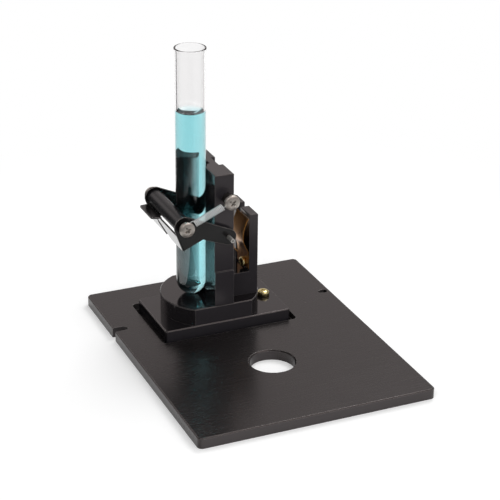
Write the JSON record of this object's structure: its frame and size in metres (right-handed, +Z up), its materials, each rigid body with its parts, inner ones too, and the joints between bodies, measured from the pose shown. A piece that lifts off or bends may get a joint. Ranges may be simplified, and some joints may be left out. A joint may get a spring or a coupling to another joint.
{
  "type": "test tube vortex station",
  "caption": "Flat base plate with a swinging carrier, a V-block and a sprung roller clamp that holds one glass test tube upright.",
  "frame": {"origin": "centre of the base plate's underside, on the table", "axes": "+Z up, +X to the right along the plate's front edge, +Y from the front edge to the back"},
  "size_m": [0.144, 0.188, 0.1771],
  "materials": {
    "black_anodised": "black anodised, satin with a fine brushed grain",
    "black_sheet": "black, satin, with bright cut edges",
    "roller_black": "glossy black",
    "stainless": "bright turned stainless",
    "steel": "plain steel",
    "zinc_wire": "bright zinc plated wire",
    "brass": "bright brass",
    "bronze": "rolled phosphor bronze",
    "nylon": "natural nylon",
    "clear_glass": "clear, fire-polished rim",
    "blue_liquid": "clear blue watery liquid"
  },
  "bodies": {
    "base": {"base_plate": "black_anodised", "carrier_pivot_screw": "brass"},
    "carrier": {"carrier_plate": "black_anodised", "pedestal": "black_anodised", "upright_block": "black_anodised", "rear_bracket": "black_anodised", "frame_screws": "steel", "rear_leaf_spring": "bronze", "front_leaf_spring": "bronze", "leaf_screws": "brass", "pivot_pin": "steel", "pivot_spacer": "nylon", "anchor_screw": "stainless", "anchor_washer": "stainless", "anchor_spacer": "stainless"},
    "lever": {"clamp_lever": "black_sheet", "roller_spindle": "steel", "roller_screws": "stainless", "roller_washers": "stainless", "roller_bushes": "stainless", "extension_spring": "zinc_wire"},
    "roller": {"roller": "roller_black"},
    "tube": {"test_tube": "clear_glass", "tube_liquid": "blue_liquid"}
  },
  "joints": [
    {"name": "carrier_swing", "type": "hinge", "parent": "base", "child": "carrier", "pos_m": [0.0259, 0.0425, 0.0117], "axis": [0, 0, 1], "range_deg": [-2.5, 2.5]},
    {"name": "clamp_swing", "type": "hinge", "parent": "carrier", "child": "lever", "pos_m": [-0.0086, 0.04135, 0.0676], "axis": [0, -1, 0], "range_deg": [0, 22], "stiffness_Nm_per_rad": 0.25, "springref_deg": -45.84, "deforming": ["extension_spring"]},
    {"name": "roller_spin", "type": "hinge", "parent": "lever", "child": "roller", "pos_m": [-0.03615, 0.04135, 0.0783], "axis": [0, 1, 0], "continuous": true},
    {"name": "tube_lift", "type": "slide", "parent": "carrier", "child": "tube", "axis": [0, 0, 1], "range_m": [0, 0.165]}
  ]
}
